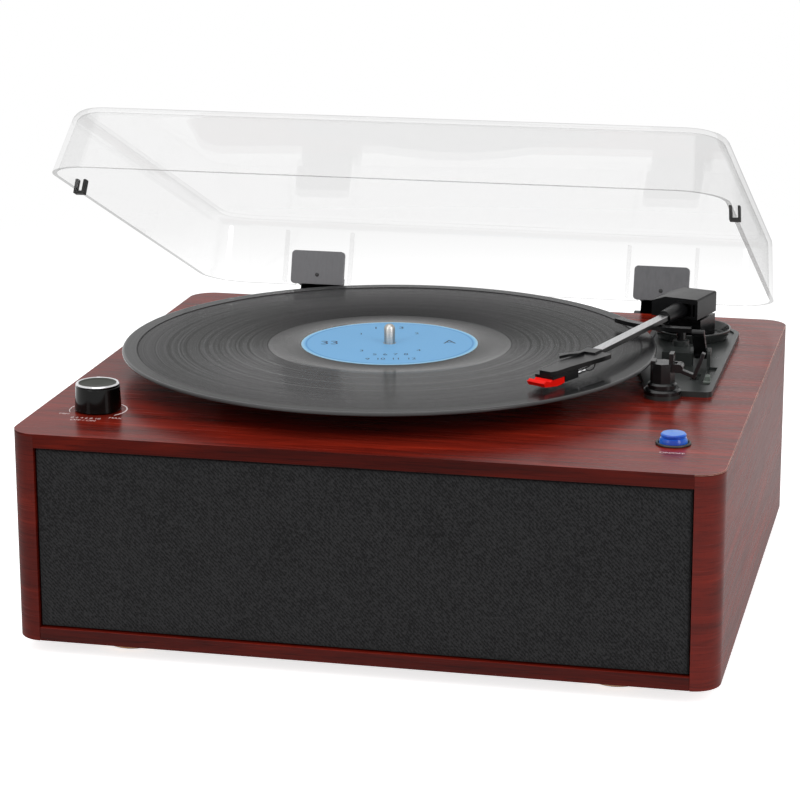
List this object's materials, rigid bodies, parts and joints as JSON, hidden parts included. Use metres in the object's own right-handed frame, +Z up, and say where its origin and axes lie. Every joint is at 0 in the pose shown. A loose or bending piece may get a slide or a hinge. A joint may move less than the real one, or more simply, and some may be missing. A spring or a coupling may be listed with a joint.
{
  "type": "record player",
  "caption": "Tabletop record player: rounded veneered cabinet with cloth speaker front, record on its platter, straight tonearm, volume knob, push button and clear hinged lid.",
  "frame": {"origin": "on the floor under the middle of the object, lid standing open as in the rest pose", "axes": "+X to the right seen from the front, -Y towards the front, +Z up along the spindle"},
  "size_m": [0.375, 0.361, 0.2821],
  "materials": {
    "veneer": "glossy red-brown veneer",
    "plain_board": "dark painted board",
    "cloth": "black woven speaker cloth",
    "cone_paper": "black paper",
    "magnet": "plain",
    "dark_metal": "satin dark grey",
    "foot_plastic": "beige",
    "black_rubber": "matt",
    "circuit": "green",
    "black_plastic": "satin black",
    "grey_plastic": "satin dark grey",
    "steel": "bright",
    "bronze": "plain",
    "vinyl": "grooved black",
    "label_paper": "light blue paper",
    "arm_metal": "satin silver",
    "gloss_black": "gloss black",
    "bright_ring": "bright",
    "red_plastic": "red",
    "blue_plastic": "translucent blue",
    "clear_plastic": "clear"
  },
  "bodies": {
    "cabinet": {"deck_panel": "veneer", "left_side_panel": "veneer", "right_side_panel": "veneer", "bottom_panel": "veneer", "back_panel": "plain_board", "baffle_board": "plain_board", "grille_frame": "plain_board", "grille_cloth": "cloth", "left_speaker_basket": "dark_metal", "right_speaker_basket": "dark_metal", "left_speaker_cone": "cone_paper", "right_speaker_cone": "cone_paper", "left_speaker_magnet": "magnet", "right_speaker_magnet": "magnet", "feet": "foot_plastic", "foot_pads": "black_rubber", "circuit_board": "circuit", "phono_sockets": "black_plastic", "power_inlet": "black_plastic", "panel_screws": "steel", "deck_screws": "steel", "bearing_housing": "dark_metal", "bearing_bush": "bronze", "motor": "steel", "drive_belt": "black_rubber", "arm_plate": "black_plastic", "arm_collar": "black_plastic", "arm_rest": "black_plastic", "volume_pot": "steel", "button_switch": "black_plastic", "button_bezel": "black_plastic", "left_hinge_bracket": "dark_metal", "right_hinge_bracket": "dark_metal", "hinge_pins": "steel"},
    "turntable": {"platter": "black_plastic", "slip_mat": "black_rubber", "record": "vinyl", "record_label": "label_paper", "spindle": "steel"},
    "motor_rotor": {"motor_shaft": "steel", "motor_pulley": "bronze"},
    "arm_yaw": {"arm_turret": "black_plastic"},
    "arm": {"arm_block": "grey_plastic", "arm_tube": "arm_metal", "headshell": "black_plastic", "finger_lift": "black_plastic", "cartridge": "black_plastic", "stylus": "red_plastic"},
    "arm_lifter": {"lift_platform": "black_plastic"},
    "cue": {"cue_lever": "black_plastic"},
    "clip": {"arm_clip": "black_plastic"},
    "knob": {"volume_knob": "gloss_black", "knob_ring": "bright_ring"},
    "button": {"power_button": "blue_plastic"},
    "speed": {"speed_slider": "black_plastic"},
    "stop": {"stop_slider": "black_plastic"},
    "cover": {"lid": "clear_plastic", "lid_bumpers": "black_rubber", "left_hinge_leaf": "grey_plastic", "right_hinge_leaf": "grey_plastic"}
  },
  "joints": [
    {"name": "platter_spin", "type": "hinge", "parent": "cabinet", "child": "turntable", "pos_m": [-0.0225, -0.0075, 0.13], "axis": [0, 0, 1], "continuous": true},
    {"name": "motor_spin", "type": "hinge", "parent": "cabinet", "child": "motor_rotor", "pos_m": [-0.08455, 0.04457, 0.125], "axis": [0, 0, 1], "continuous": true},
    {"name": "arm_swing", "type": "hinge", "parent": "cabinet", "child": "arm_yaw", "pos_m": [0.137, 0.096, 0.1445], "axis": [0, 0, -1], "range_deg": [-16, 25]},
    {"name": "arm_lift", "type": "hinge", "parent": "arm_yaw", "child": "arm", "pos_m": [0.137, 0.096, 0.1445], "axis": [-0.9613, 0.2756, 0], "range_deg": [0, 3]},
    {"name": "cue_turn", "type": "hinge", "parent": "cabinet", "child": "cue", "pos_m": [0.15, 0.029, 0.131], "axis": [-1, 0, 0], "range_deg": [0, 66]},
    {"name": "lift_rise", "type": "slide", "parent": "cabinet", "child": "arm_lifter", "axis": [0, 0, 1], "range_m": [0, 0.0033]},
    {"name": "clip_turn", "type": "hinge", "parent": "cabinet", "child": "clip", "pos_m": [0.1459, -0.036, 0.139], "axis": [0, -1, 0], "range_deg": [0, 110]},
    {"name": "volume_turn", "type": "hinge", "parent": "cabinet", "child": "knob", "pos_m": [-0.1553, -0.128, 0.13], "axis": [0, 0, -1], "range_deg": [0, 280]},
    {"name": "button_press", "type": "slide", "parent": "cabinet", "child": "button", "axis": [0, 0, -1], "range_m": [0, 0.0025], "stiffness_N_per_m": 300, "springref_m": -0.0004},
    {"name": "speed_slide", "type": "slide", "parent": "cabinet", "child": "speed", "axis": [0, 1, 0], "range_m": [0, 0.016]},
    {"name": "stop_slide", "type": "slide", "parent": "cabinet", "child": "stop", "axis": [0, 1, 0], "range_m": [0, 0.007]},
    {"name": "lid_hinge", "type": "hinge", "parent": "cabinet", "child": "cover", "pos_m": [0, 0.173, 0.114], "axis": [-1, 0, 0], "range_deg": [-22.9, 42]}
  ],
  "couplings": [
    {"joint": "motor_spin", "follows": "platter_spin", "ratio": 10.833},
    {"joint": "cue_turn", "follows": "arm_lift", "ratio": 20},
    {"joint": "lift_rise", "follows": "arm_lift", "m_per_rad": 0.054}
  ]
}
